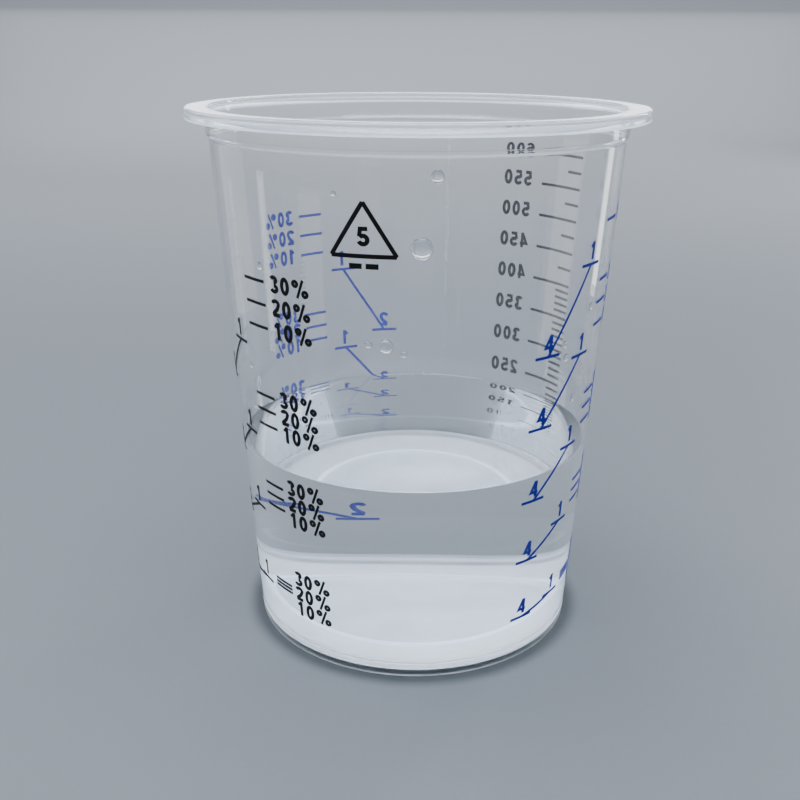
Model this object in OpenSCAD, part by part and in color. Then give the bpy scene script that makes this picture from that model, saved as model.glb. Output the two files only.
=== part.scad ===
// Graduated mixing beaker: a thin-walled moulded cup with a rolled-out rim, printed with one
// millilitre scale, three mixing scales and a material mark, and holding a fill of water.
// Millimetres. The origin is on the table, on the axis of the cup, and +Z is up.
// Azimuths are in degrees, clockwise from +Y as seen from above, so 90 is +X and 180 is the front.

/* [Cup] */
// Height from the table to the top of the rim
height = 124.5; // [100:0.5:160]
// Radius of the outer wall at the table
base_r = 39.4; // [32:0.1:46]
// Radius of the outer wall just under the shoulder
wall_top_r = 46.85; // [46.5:0.05:60]
// Thickness of the side wall
wall_t = 0.9; // [0.6:0.1:2]
// Height of the inside of the floor above the table
floor_top = 2.6; // [2.2:0.1:5]
// Thickness of the floor
floor_t = 1.1; // [0.6:0.1:1.8]
// Radius of the inside corner between wall and floor
corner_r = 2.5; // [0.5:0.1:4]
// Thickness of the foot ring under the wall
foot_t = 1.6; // [1:0.1:3]
// Rounding of the foot's outer edge
foot_round = 0.6; // [0.2:0.1:0.9]

/* [Raised floor] */
// Outer radius of the slope that leads up to the raised middle of the floor
raise_outer_r = 28.5; // [10:0.5:29]
// Width of that slope
raise_slope_w = 3.2; // [1:0.1:6]
// Height of the raised middle above the rest of the floor
raise_h = 0.8; // [0.2:0.1:1.5]

/* [Rim] */
// How far the rim stands out from the collar
rim_out = 4.25; // [2.5:0.05:8]
// Height of the lip that hangs from the rim
lip_h = 2.5; // [1.8:0.1:6]
// Thickness of that lip
lip_t = 1; // [0.6:0.1:2]
// Thickness of the flat top of the rim
rim_t = 1.1; // [0.8:0.1:1.6]
// Rounding of the rim's top edges
rim_round = 0.45; // [0.1:0.05:0.5]
// Depth of the collar: from the top of the rim down to the shoulder
collar_h = 6.4; // [4:0.1:12]
// How far the shoulder steps out from the wall to the collar
shoulder_out = 0.6; // [0.2:0.1:1.2]
// Height of the shoulder's slope
shoulder_h = 0.7; // [0.3:0.1:1.5]

/* [Contents] */
// Volume of water in the cup, in millilitres
fill_ml = 225; // [80:5:500]
// Clearance between the water and the cup
water_gap = 0.05; // [0.02:0.01:0.2]
// Size of the drops on the inside of the wall, as a share of their natural size
drop_scale = 1; // [0.7:0.1:1.4]

/* [Print] */
// Thickness of the ink film
ink_t = 0.05; // [0.03:0.01:0.2]
// Clearance between the ink film and the wall
ink_gap = 0.02; // [0.01:0.01:0.1]
// Thickness of a printed line
line_w = 0.5; // [0.3:0.05:1]
// Height of the printed numbers
digit_h = 3.7; // [2:0.1:5]
// Gap between a number and the line under it
digit_gap = 1; // [0.5:0.1:2]

/* [Millilitre scale] */
// Highest volume on the scale
top_ml = 600; // [500:50:600]
// Azimuth of the ends that the marks share
ml_edge = 65.6; // [55:0.1:75]
// Angle that a long mark spans
ml_long = 18.5; // [12:0.1:24]
// Angle that a short mark spans
ml_short = 7.1; // [4:0.1:10]
// Azimuth of the middle of the numbers
ml_label = 37.5; // [30:0.1:40]
// Volume below which the marks are every 10 ml, not every 25 ml
fine_ml = 400; // [200:50:500]

/* [Mixing scales] */
// Azimuth of the "full" marks of the black scale, five parts to one
black_az = 242.2; // [236:0.1:248]
// Azimuth of the "full" marks of the blue scale, four parts to one
blue_four_az = 126.3; // [120:0.1:132]
// Azimuth of the "full" marks of the blue scale, two parts to one
blue_two_az = 333.5; // [328:0.1:339]
// Angle that a mark spans
mark_span = 9.3; // [6:0.1:11]
// Angle from the "full" marks to the marks of the base
base_step = 15.4; // [12:0.1:18]
// Angle from the "full" marks to the percent marks
percent_step = 12.4; // [11:0.1:15]
// Angle from the "full" marks to the percent numbers
label_step = 26.6; // [24:0.1:29]

/* [Material mark] */
// Azimuth of the mark
mark_az = 193.7; // [185:0.1:200]
// Width of the triangle
mark_w = 13.3; // [8:0.1:16]
// Distance from the top of the triangle to the top of the rim
mark_drop = 14.9; // [12:0.1:30]
// Thickness of the triangle's lines
mark_line = 0.75; // [0.4:0.05:1.2]

/* [Hidden] */
$fn = 96;

mm3_per_ml = 1000;
shoulder_z = height - collar_h;
slope = (wall_top_r - base_r) / shoulder_z;
lean = atan(slope);
collar_r = wall_top_r + shoulder_out;
rim_r = collar_r + rim_out;
mouth_r = collar_r - wall_t;
floor_r = bore_r(floor_top);
raise_inner_r = raise_outer_r - raise_slope_w;
foot_inner_r = base_r - foot_t;

// Radius of the outer wall and of the inner wall at a height
function wall_r(z) = base_r + slope * z;
function bore_r(z) = wall_r(z) - wall_t;

// What the raised middle and the round corner of the floor take from the cup's volume, in ml
raised_ml = PI / 3 * raise_h / mm3_per_ml
    * (pow(raise_outer_r, 2) + raise_outer_r * raise_inner_r + pow(raise_inner_r, 2));
corner_ml = (1 - PI / 4) * pow(corner_r, 2) * 2 * PI * floor_r / mm3_per_ml;

// Height of the surface when the cup holds a volume in ml: the filled space is a cone's frustum
function level(ml) =
    let (cone = 3 * slope * mm3_per_ml * (ml + raised_ml + corner_ml) / PI)
    floor_top + (pow(pow(floor_r, 3) + cone, 1 / 3) - floor_r) / slope;

fill_z = level(fill_ml);

// Arc of a circle of radius r about (x, z), as points, from one angle to another
function arc(x, z, r, from, to, steps) =
    [for (i = [0:steps]) let (a = from + (to - from) * i / steps) [x + r * cos(a), z + r * sin(a)]];

// ---- Cup ----

// Outline of the underside and the outside, from the axis up to the rim
outside = concat(
    [
        [0, floor_top + raise_h - floor_t],
        [raise_inner_r, floor_top + raise_h - floor_t],
        [raise_outer_r, floor_top - floor_t],
        [foot_inner_r, floor_top - floor_t],
        [foot_inner_r, 0],
    ],
    arc(base_r - foot_round, foot_round, foot_round, -90, 0, 4),
    [
        [wall_top_r, shoulder_z],
        [collar_r, shoulder_z + shoulder_h],
        [collar_r, height - rim_t],
        [rim_r - lip_t, height - rim_t],
        [rim_r - lip_t, height - lip_h],
        [rim_r, height - lip_h],
    ],
    arc(rim_r - rim_round, height - rim_round, rim_round, 0, 90, 4)
);

// Outline of the inside, from the rim down to the axis
corner_x = bore_r(floor_top + corner_r) - corner_r;
inside = concat(
    arc(mouth_r + rim_round, height - rim_round, rim_round, 90, 180, 4),
    [
        [mouth_r, shoulder_z + shoulder_h + wall_t * slope],
        [bore_r(shoulder_z), shoulder_z],
    ],
    arc(corner_x, floor_top + corner_r, corner_r, -lean, -90, 6),
    [
        [raise_outer_r, floor_top],
        [raise_inner_r, floor_top + raise_h],
        [0, floor_top + raise_h],
    ]
);

module cup() {
    color([0.9, 0.92, 0.93, 0.35])
        rotate_extrude()
            polygon(concat(outside, inside));
}

// ---- Contents ----

// The water fills the cup from the floor to the fill line, a small clearance inside it
module water() {
    top_r = bore_r(fill_z) - water_gap;
    low = floor_top + water_gap;
    color([0.75, 0.86, 0.9, 0.5])
        rotate_extrude()
            polygon(concat(
                [
                    [0, low + raise_h],
                    [raise_inner_r, low + raise_h],
                    [raise_outer_r, low],
                ],
                arc(corner_x, floor_top + corner_r, corner_r - water_gap, -90, -lean, 6),
                [
                    [top_r, fill_z],
                    [0, fill_z],
                ]
            ));
}

// Each drop on the inside of the wall: azimuth, height and radius
drops = [
    [179.4, 100.8, 2.2],
    [176, 114.5, 1.3],
    [188.4, 80.7, 1.5],
    [193.1, 80.9, 0.8],
    [183.7, 79.1, 0.7],
    [201.1, 110.8, 0.6],
    [227, 94.1, 0.9],
    [236.6, 70.4, 0.7],
    [236.9, 60.8, 0.7],
    [134.5, 77.4, 0.9],
    [133.2, 74.3, 0.9],
    [126.9, 63.7, 0.9],
    [121.9, 84, 0.9],
];
drop_flatness = 0.3;

// A drop is a round cap, lying on the inside of the wall
module drop(r) {
    rise = r * drop_flatness;
    ball = (pow(r, 2) + pow(rise, 2)) / (2 * rise);
    reach = asin(r / ball);
    rotate_extrude($fn = 32)
        polygon(concat([[0, 0]], arc(0, rise - ball, ball, 90 - reach, 90, 5)));
}

// Children drawn flat are laid inside the wall: their +Z points at the axis
module in_wall(az, z) {
    rotate([0, 0, 90 - az])
        translate([bore_r(z), 0, z])
            rotate([0, lean, 0])
                rotate([90, 0, -90])
                    children();
}

module wall_drops() {
    color([0.85, 0.92, 0.95, 0.6])
        for (d = drops) {
            r = d[2] * drop_scale;
            // The flat back of a drop touches the wall only at its two ends
            sagitta = bore_r(d[1]) - sqrt(pow(bore_r(d[1]), 2) - pow(r, 2));
            in_wall(d[0], d[1])
                translate([0, 0, sagitta + ink_gap])
                    drop(r);
        }
}

// ---- Print ----

// Children drawn flat, with x to the right and y up as seen from outside, are laid on the wall
module on_wall(az, z) {
    rotate([0, 0, 90 - az])
        translate([wall_r(z), 0, z])
            rotate([0, lean, 0])
                rotate([90, 0, 90])
                    translate([0, 0, ink_gap])
                        children();
}

// A level line round the wall, between two azimuths
module level_line(az_from, az_to, z) {
    near = wall_r(z - line_w / 2) + ink_gap;
    far = wall_r(z + line_w / 2) + ink_gap;
    rotate([0, 0, 90 - az_to])
        rotate_extrude(angle = az_to - az_from)
            polygon([
                [near, z - line_w / 2],
                [near + ink_t, z - line_w / 2],
                [far + ink_t, z + line_w / 2],
                [far, z + line_w / 2],
            ]);
}

// A line that crosses the wall slantwise: short straight runs, each laid on the wall
slant_runs = 6;
module slant_line(az_a, z_a, az_b, z_b) {
    step_az = (az_b - az_a) / slant_runs;
    step_z = (z_b - z_a) / slant_runs;
    for (i = [0:slant_runs - 1]) {
        az = az_a + (i + 0.5) * step_az;
        z = z_a + (i + 0.5) * step_z;
        across = -step_az * PI / 180 * wall_r(z);
        up = step_z / cos(lean);
        on_wall(az, z)
            rotate([0, 0, atan2(up, across)])
                translate([-norm([across, up]) / 2, -line_w / 2, 0])
                    cube([norm([across, up]), line_w, ink_t]);
    }
}

// Strokes: a stroke is a row of points that a pen of constant width follows
function unit(v) = v / norm(v);
function left_of(v) = [-v[1], v[0]];
mitre_limit = 0.6;
function before(p, i, ring) = ring ? p[(i + len(p) - 1) % len(p)] : p[max(i - 1, 0)];
function after(p, i, ring) = ring ? p[(i + 1) % len(p)] : p[min(i + 1, len(p) - 1)];
function edge(p, d, ring) = [
    for (i = [0:len(p) - 1])
        let (
            a = before(p, i, ring),
            b = after(p, i, ring),
            u = (a == p[i]) ? left_of(unit(b - p[i])) : left_of(unit(p[i] - a)),
            v = (b == p[i]) ? u : left_of(unit(b - p[i])),
            m = unit(u + v)
        )
        p[i] + m * d / max(mitre_limit, m * u)
];
function reversed(p) = [for (i = [len(p) - 1:-1:0]) p[i]];
function oval(x, y, rx, ry, from, to, steps) =
    [for (i = [0:steps]) let (a = from + (to - from) * i / steps) [x + rx * cos(a), y + ry * sin(a)]];

module stroke(points, pen) {
    polygon(concat(edge(points, pen / 2, false), reversed(edge(points, -pen / 2, false))));
}

ring_sides = 12;
module ring(x, y, rx, ry, pen) {
    points = oval(x, y, rx, ry, 0, 360 - 360 / ring_sides, ring_sides - 1);
    difference() {
        polygon(edge(points, -pen / 2, true));
        polygon(edge(points, pen / 2, true));
    }
}

// Figures are drawn one unit high and centred on x = 0
pen_share = 0.135;
thin_pen = 0.8;
figure_w = 0.74;
percent_w = 1.06;
function advance(figure) = (figure == "%") ? percent_w : figure_w;

module figure(f) {
    p = pen_share;
    h = p / 2;
    if (f == "0") ring(0, 0.5, 0.22, 0.5 - h, p);
    if (f == "1") stroke([[-0.19, 0.72], [-0.03, 0.8], [0.06, 1 - h], [0.06, 0]], p);
    if (f == "2")
        stroke(concat(oval(0, 0.7, 0.21, 0.3 - h, 170, -25, 6), [[-0.23, h], [0.27, h]]), p);
    if (f == "3") {
        stroke(oval(-0.01, 0.74, 0.19, 0.26 - h, 160, -90, 6), p);
        stroke(oval(-0.01, 0.27, 0.22, 0.27 - h, 90, -160, 6), p);
    }
    if (f == "4") {
        stroke([[0.11, 0], [0.11, 1]], p);
        stroke([[0.11, 0.96], [-0.24, 0.29], [0.3, 0.29]], p);
    }
    if (f == "5") {
        stroke([[0.22, 1 - h], [-0.13, 1 - h], [-0.18, 0.47]], p);
        stroke(oval(-0.01, 0.32, 0.22, 0.32 - h, 140, -155, 7), p);
    }
    if (f == "6") {
        ring(0, 0.31, 0.21, 0.31 - h, p);
        stroke(oval(0.03, 0.5, 0.24, 0.5 - h, 195, 50, 6), p);
    }
    if (f == "7") stroke([[-0.24, 1 - h], [0.24, 1 - h], [0.02, 0.5], [-0.08, 0]], p);
    if (f == "8") {
        ring(0, 0.74, 0.175, 0.26 - h, p);
        ring(0, 0.28, 0.21, 0.28 - h, p);
    }
    if (f == "9") rotate(180) translate([0, -1]) figure("6");
    if (f == "%") {
        ring(-0.28, 0.75, 0.13, 0.25 - h, p * thin_pen);
        ring(0.28, 0.25, 0.13, 0.25 - h, p * thin_pen);
        stroke([[-0.22, 0], [0.22, 1]], p * thin_pen);
    }
}

function width_to(word, n) = (n == 0) ? 0 : advance(word[n - 1]) + width_to(word, n - 1);

// A number on the wall, centred on an azimuth and a height, each figure laid on the wall by itself
module number(word, az, z) {
    low = z - digit_h / 2;
    degrees_per_mm = 180 / (PI * wall_r(low));
    for (i = [0:len(word) - 1]) {
        across = width_to(word, i) + (advance(word[i]) - width_to(word, len(word))) / 2;
        on_wall(az - across * digit_h * degrees_per_mm, low)
            linear_extrude(ink_t)
                scale(digit_h)
                    figure(word[i]);
    }
}

// A mark has room where its number, which stands a little above it, ends below the shoulder
function has_room(z) = z + digit_gap + digit_h < shoulder_z;

// -- Millilitre scale --

label_every = 50;
coarse_every = 25;
fine_every = 10;
ml_number_lift = 0.9;
ml_long_marks = [
    for (ml = [label_every:label_every:top_ml])
        if (has_room(level(ml))) ml
];
ml_coarse_marks = [
    for (ml = [fine_ml + coarse_every:label_every:top_ml])
        if (has_room(level(ml))) ml
];
ml_fine_marks = [
    for (ml = [fine_every:fine_every:fine_ml])
        if (ml % label_every != 0 && has_room(level(ml))) ml
];

module millilitre_marks() {
    color("black") {
        for (ml = ml_long_marks) level_line(ml_edge - ml_long, ml_edge, level(ml));
        for (ml = concat(ml_coarse_marks, ml_fine_marks))
            level_line(ml_edge - ml_short, ml_edge, level(ml));
    }
}

module millilitre_numbers() {
    color("black")
        for (ml = ml_long_marks) number(str(ml), ml_label, level(ml) + ml_number_lift);
}

// -- Mixing scales --
// Each scale has several mixes. A mix has a mark for the base alone, a mark for base and hardener,
// which a slanted line joins, and three percent marks for thinner.

number_gap = 0.35;
number_spacing = digit_h + number_gap;

// The base's share of a full mix
black_base = 0.83;
blue_four_base = 0.778;
blue_two_base = 0.743;

// Each mix: its full volume, and the volume of thinner in each further ten percent, in ml
percents = [10, 20, 30];
black_mixes = [[383, 31], [259, 20.5], [155.5, 14.5], [55, 4.6]];
blue_four_mixes = [[494.5, 53], [373, 31], [250, 20.5], [148, 14.5], [50.5, 4.6]];
blue_two_mixes = [[399.5, 31], [273.5, 20.5], [176, 14.5], [77, 4.6]];

function thinned(mix, percent) = mix[0] + mix[1] * percent / percents[0];
function on_scale(ml) = ml <= top_ml && has_room(level(ml));

module scale_marks(az, mixes, base_share) {
    for (mix = mixes) if (on_scale(mix[0])) {
        full_z = level(mix[0]);
        base_z = level(mix[0] * base_share);
        level_line(az - mark_span / 2, az + mark_span / 2, full_z);
        level_line(az + base_step - mark_span / 2, az + base_step + mark_span / 2, base_z);
        slant_line(az, full_z, az + base_step, base_z);
        for (percent = percents) {
            ml = thinned(mix, percent);
            mid = az - percent_step;
            if (on_scale(ml)) level_line(mid - mark_span / 2, mid + mark_span / 2, level(ml));
        }
    }
}

// The percent numbers stay on their marks where there is room, and are spread evenly where not
module scale_numbers(az, mixes, base_share, parts) {
    lift = digit_gap + digit_h / 2;
    for (mix = mixes) if (on_scale(mix[0])) {
        number("1", az, level(mix[0]) + lift);
        number(parts, az + base_step, level(mix[0] * base_share) + lift);
        middle = level(thinned(mix, percents[1]));
        spacing = max(number_spacing, level(thinned(mix, percents[2])) - middle);
        for (i = [0:len(percents) - 1])
            if (on_scale(thinned(mix, percents[i])))
                number(str(percents[i], "%"), az - label_step, middle + (i - 1) * spacing);
    }
}

module black_scale_marks() {
    color("black") scale_marks(black_az, black_mixes, black_base);
}

module black_scale_numbers() {
    color("black") scale_numbers(black_az, black_mixes, black_base, "5");
}

module blue_four_to_one_marks() {
    color("mediumblue") scale_marks(blue_four_az, blue_four_mixes, blue_four_base);
}

module blue_four_to_one_numbers() {
    color("mediumblue") scale_numbers(blue_four_az, blue_four_mixes, blue_four_base, "4");
}

module blue_two_to_one_marks() {
    color("royalblue") scale_marks(blue_two_az, blue_two_mixes, blue_two_base);
}

module blue_two_to_one_numbers() {
    color("royalblue") scale_numbers(blue_two_az, blue_two_mixes, blue_two_base, "2");
}

// -- Material mark --
// A plain triangle with a number inside it and two plain bars under it

mark_top = height - mark_drop;
mark_rise_share = 0.79;
mark_h = mark_w * mark_rise_share;
mark_number_share = 0.63;
bar_w = 2.6;
bar_h = 1.1;
bar_gap = 0.8;
bar_drop = 2;

// A side of the triangle, drawn flat about the middle of the side
module mark_side(length) {
    translate([-length / 2, -mark_line / 2, 0])
        cube([length, mark_line, ink_t]);
}

module material_mark() {
    side = norm([mark_w / 2, mark_h]);
    rise = atan2(mark_h, mark_w / 2);
    quarter = mark_w / 4 * 180 / (PI * wall_r(mark_top - mark_h / 2));
    bars_z = mark_top - mark_h - bar_drop;
    bar_step = (bar_w + bar_gap) / 2 * 180 / (PI * wall_r(bars_z));
    color("black") {
        for (s = [-1, 1]) {
            on_wall(mark_az - s * quarter, mark_top - mark_h / 2)
                rotate([0, 0, -s * rise])
                    mark_side(side);
            on_wall(mark_az - s * quarter, mark_top - mark_h)
                mark_side(mark_w / 2);
            on_wall(mark_az - s * bar_step, bars_z)
                translate([-bar_w / 2, -bar_h / 2, 0])
                    cube([bar_w, bar_h, ink_t]);
        }
        number("5", mark_az, mark_top - mark_h * mark_number_share);
    }
}

cup();
water();
wall_drops();
millilitre_marks();
millilitre_numbers();
black_scale_marks();
black_scale_numbers();
blue_four_to_one_marks();
blue_four_to_one_numbers();
blue_two_to_one_marks();
blue_two_to_one_numbers();
material_mark();
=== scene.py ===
"""Dresses the graduated mixing beaker: clear cup, water, drops and printed scales.

Lengths are in metres. Azimuths are in degrees, clockwise from +Y as seen from above, so 90 is +X
and 180 is the front. The cup's own numbers repeat the ones of its CAD source.
"""

import logging
import math
from dataclasses import dataclass, field
from enum import Enum
from typing import Optional, Sequence, Union

import bmesh
import bpy
from mathutils import Matrix, Vector


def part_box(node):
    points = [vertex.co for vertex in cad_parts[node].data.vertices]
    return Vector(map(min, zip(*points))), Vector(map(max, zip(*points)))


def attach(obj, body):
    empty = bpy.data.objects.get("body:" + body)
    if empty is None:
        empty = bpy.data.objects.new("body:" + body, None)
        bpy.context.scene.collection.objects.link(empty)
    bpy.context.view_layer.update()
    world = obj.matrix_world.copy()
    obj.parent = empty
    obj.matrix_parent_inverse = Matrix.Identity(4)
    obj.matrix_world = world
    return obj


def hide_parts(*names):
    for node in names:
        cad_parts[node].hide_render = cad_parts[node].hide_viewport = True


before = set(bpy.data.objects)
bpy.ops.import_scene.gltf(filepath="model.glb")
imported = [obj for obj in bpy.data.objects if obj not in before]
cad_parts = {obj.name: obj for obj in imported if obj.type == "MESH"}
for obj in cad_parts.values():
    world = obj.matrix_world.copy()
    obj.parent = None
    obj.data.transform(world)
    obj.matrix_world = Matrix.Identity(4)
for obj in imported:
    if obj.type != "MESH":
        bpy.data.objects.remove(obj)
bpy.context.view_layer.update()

LOG = logging.getLogger("beaker")
MM = 0.001
ML = 1e-6
TURN = 2 * math.pi
ROOT = "root"
PLASTIC_INDEX = 1.49
WATER_INDEX = 1.333
UNSEEN_INDEX = 1.001

Point = tuple[float, float]
Band = tuple[Point, Point]
Colour = tuple[float, float, float, float]


# ---- Mesh helpers ----


def arc(centre: Point, radii: Point, start: float, end: float, steps: int) -> list[Point]:
    """Points along an oval arc.

    Args:
        centre: Middle of the oval.
        radii: Its half width and half height.
        start: First angle, in degrees.
        end: Last angle, in degrees.
        steps: Number of stretches between the points.

    Returns:
        The points, both ends included.
    """
    angles = [math.radians(start + (end - start) * i / steps) for i in range(steps + 1)]
    return [(centre[0] + radii[0] * math.cos(a), centre[1] + radii[1] * math.sin(a)) for a in angles]


def round_arc(x: float, z: float, r: float, start: float, end: float, steps: int) -> list[Point]:
    """Points along a circle's arc about (x, z)."""
    return arc((x, z), (r, r), start, end, steps)


def lathe(outline: Sequence[Point], steps: int) -> bmesh.types.BMesh:
    """Turns an outline about the Z axis into a closed body.

    Args:
        outline: Points as (radius, height); the first and the last lie on the axis.
        steps: Number of steps round the axis.

    Returns:
        The body's mesh, with its normals pointing outwards.
    """
    bm = bmesh.new()
    verts = [bm.verts.new((r, 0.0, z)) for r, z in outline]
    edges = [bm.edges.new(pair) for pair in zip(verts, verts[1:])]
    bmesh.ops.spin(
        bm, geom=verts + edges, cent=(0, 0, 0), axis=(0, 0, 1), dvec=(0, 0, 0),
        angle=TURN, steps=steps, use_merge=True, use_duplicate=False,
    )
    bmesh.ops.remove_doubles(bm, verts=bm.verts, dist=1e-7)
    bmesh.ops.dissolve_degenerate(bm, edges=bm.edges, dist=1e-8)
    bmesh.ops.recalc_face_normals(bm, faces=bm.faces)
    return bm


def finished(
    name: str,
    bm: bmesh.types.BMesh,
    finishes: Sequence[bpy.types.Material],
    sharp_deg: Optional[float] = None,
) -> bpy.types.Object:
    """Makes a piece from a mesh, at the origin, with its finishes.

    Args:
        name: The piece's name.
        bm: Its mesh, which is freed.
        finishes: Its materials, in the order of the mesh's face indices.
        sharp_deg: Edges that turn by more than this stay sharp; without it the piece is faceted.

    Returns:
        The new object.
    """
    mesh = bpy.data.meshes.new(name)
    bm.to_mesh(mesh)
    bm.free()
    if sharp_deg is not None:
        mesh.polygons.foreach_set("use_smooth", [True] * len(mesh.polygons))
        mesh.set_sharp_from_angle(angle=math.radians(sharp_deg))
    for finish in finishes:
        mesh.materials.append(finish)
    piece = bpy.data.objects.new(name, mesh)
    bpy.context.scene.collection.objects.link(piece)
    return piece


# ---- Shader helpers ----

Value = Union[float, tuple, "Signal"]


class Signal:
    """A shader socket that can be used in Python expressions."""

    def __init__(self, socket: bpy.types.NodeSocket, paint: "Paint") -> None:
        """Wraps a socket of a material that is being made."""
        self.socket = socket
        self.paint = paint

    def _maths(self, operation: str, *values: Value) -> "Signal":
        """Adds a Math node on these values."""
        node = self.paint.node("ShaderNodeMath", {"operation": operation}, dict(enumerate(values)))
        return node[0]

    def __add__(self, other: Value) -> "Signal":
        """self + other."""
        return self._maths("ADD", self, other)

    __radd__ = __add__

    def __sub__(self, other: Value) -> "Signal":
        """self - other."""
        return self._maths("SUBTRACT", self, other)

    def __rsub__(self, other: Value) -> "Signal":
        """other - self."""
        return self._maths("SUBTRACT", other, self)

    def __mul__(self, other: Value) -> "Signal":
        """self * other."""
        return self._maths("MULTIPLY", self, other)

    __rmul__ = __mul__

    def within(self, low: Point, high: Point) -> "Signal":
        """1 between two heights or distances and 0 outside, each side given as a soft step."""
        return self.between(*low) * (1 - self.between(*high))

    def between(self, low: float, high: float) -> "Signal":
        """0 where self is under low, 1 where it is over high, and smooth in between."""
        node = self.paint.node(
            "ShaderNodeMapRange",
            {"interpolation_type": "SMOOTHSTEP", "clamp": True},
            {"Value": self, "From Min": low, "From Max": high, "To Min": 0.0, "To Max": 1.0},
        )
        return node["Result"]


class Made:
    """A node that has been added, whose outputs are read by name or number."""

    def __init__(self, node: bpy.types.Node, paint: "Paint") -> None:
        """Wraps a node."""
        self.node = node
        self.paint = paint

    def __getitem__(self, key: Union[str, int]) -> Signal:
        """The output of that name or number."""
        return Signal(self.node.outputs[key], self.paint)


class Paint:
    """A material, or the light all round, that is being made node by node."""

    def __init__(self, owner: Union[bpy.types.Material, bpy.types.World]) -> None:
        """Starts the owner's node tree afresh."""
        owner.use_nodes = True
        self.tree = owner.node_tree
        self.tree.nodes.clear()
        self.owner = owner
        self.coords = self.node("ShaderNodeTexCoord")
        self.place = self.coords["Object"]

    @classmethod
    def on(cls, name: str) -> "Paint":
        """Starts an empty node material of that name."""
        return cls(bpy.data.materials.new(name))

    def node(self, kind: str, settings: Optional[dict] = None, inputs: Optional[dict] = None) -> Made:
        """Adds a node.

        Args:
            kind: The node's type.
            settings: Properties of the node, which are set first; "stops" are a ramp's stops.
            inputs: Values or signals for its sockets, by name or number.

        Returns:
            The node.
        """
        node = self.tree.nodes.new(kind)
        for key, value in (settings or {}).items():
            if key == "stops":
                ramp = node.color_ramp
                while len(ramp.elements) < len(value):
                    ramp.elements.new(1.0)
                for element, (position, colour) in zip(ramp.elements, value):
                    element.position = position
                    element.color = colour
            else:
                setattr(node, key, value)
        for key, value in (inputs or {}).items():
            if isinstance(value, Signal):
                self.tree.links.new(value.socket, node.inputs[key])
            else:
                node.inputs[key].default_value = value
        return Made(node, self)

    def noise(
        self, scale: float, detail: float, stretch: tuple[float, float, float] = (1, 1, 1)
    ) -> Signal:
        """Noise on the piece's own coordinates.

        Args:
            scale: Waves per metre.
            detail: Octaves.
            stretch: How much the pattern is squeezed along each axis.

        Returns:
            A value near 0.5 that varies between 0 and 1.
        """
        place = self.node(
            "ShaderNodeMapping", inputs={"Vector": self.place, "Scale": stretch}
        )["Vector"]
        texture = self.node(
            "ShaderNodeTexNoise", inputs={"Vector": place, "Scale": scale, "Detail": detail}
        )
        return texture[0]

    def across(self) -> Signal:
        """Distance from the Z axis."""
        flat = self.node(
            "ShaderNodeVectorMath", {"operation": "MULTIPLY"}, {0: self.place, 1: (1, 1, 0)}
        )[0]
        return self.node("ShaderNodeVectorMath", {"operation": "LENGTH"}, {0: flat})["Value"]

    def blend(self, share: Signal, first: Value, second: Value) -> Signal:
        """A colour between two, by a share from 0 to 1."""
        node = self.node("ShaderNodeMix", {"data_type": "RGBA"}, {0: share, 6: first, 7: second})
        return node[2]

    def bump(self, height: Signal, depth: float, strength: float = 1.0) -> Signal:
        """A normal from a height between 0 and 1 that stands for a depth in metres."""
        node = self.node(
            "ShaderNodeBump", inputs={"Height": height, "Distance": depth, "Strength": strength}
        )
        return node["Normal"]

    def principled(self, **inputs: Value) -> Signal:
        """A Principled shader, its sockets named with _ for a space."""
        named = {key.replace("_", " "): value for key, value in inputs.items()}
        return self.node("ShaderNodeBsdfPrincipled", inputs=named)[0]

    def mix(self, share: Value, first: Signal, second: Signal) -> Signal:
        """A shader between two, by a share from 0 to 1."""
        return self.node("ShaderNodeMixShader", inputs={0: share, 1: first, 2: second})[0]

    def lets_light_by(self, shader: Signal, shade: Colour) -> Signal:
        """A shader that light from the lamps passes, a little weakened by a shade of grey."""
        shadow = self.node("ShaderNodeLightPath")["Is Shadow Ray"]
        clear = self.node("ShaderNodeBsdfTransparent", inputs={"Color": shade})[0]
        return self.mix(shadow, shader, clear)

    def shown(self, shader: Signal) -> bpy.types.Material:
        """Puts a shader on the output and returns the material."""
        self.node("ShaderNodeOutputMaterial", inputs={"Surface": shader})
        return self.owner


# ---- Finishes ----


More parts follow.
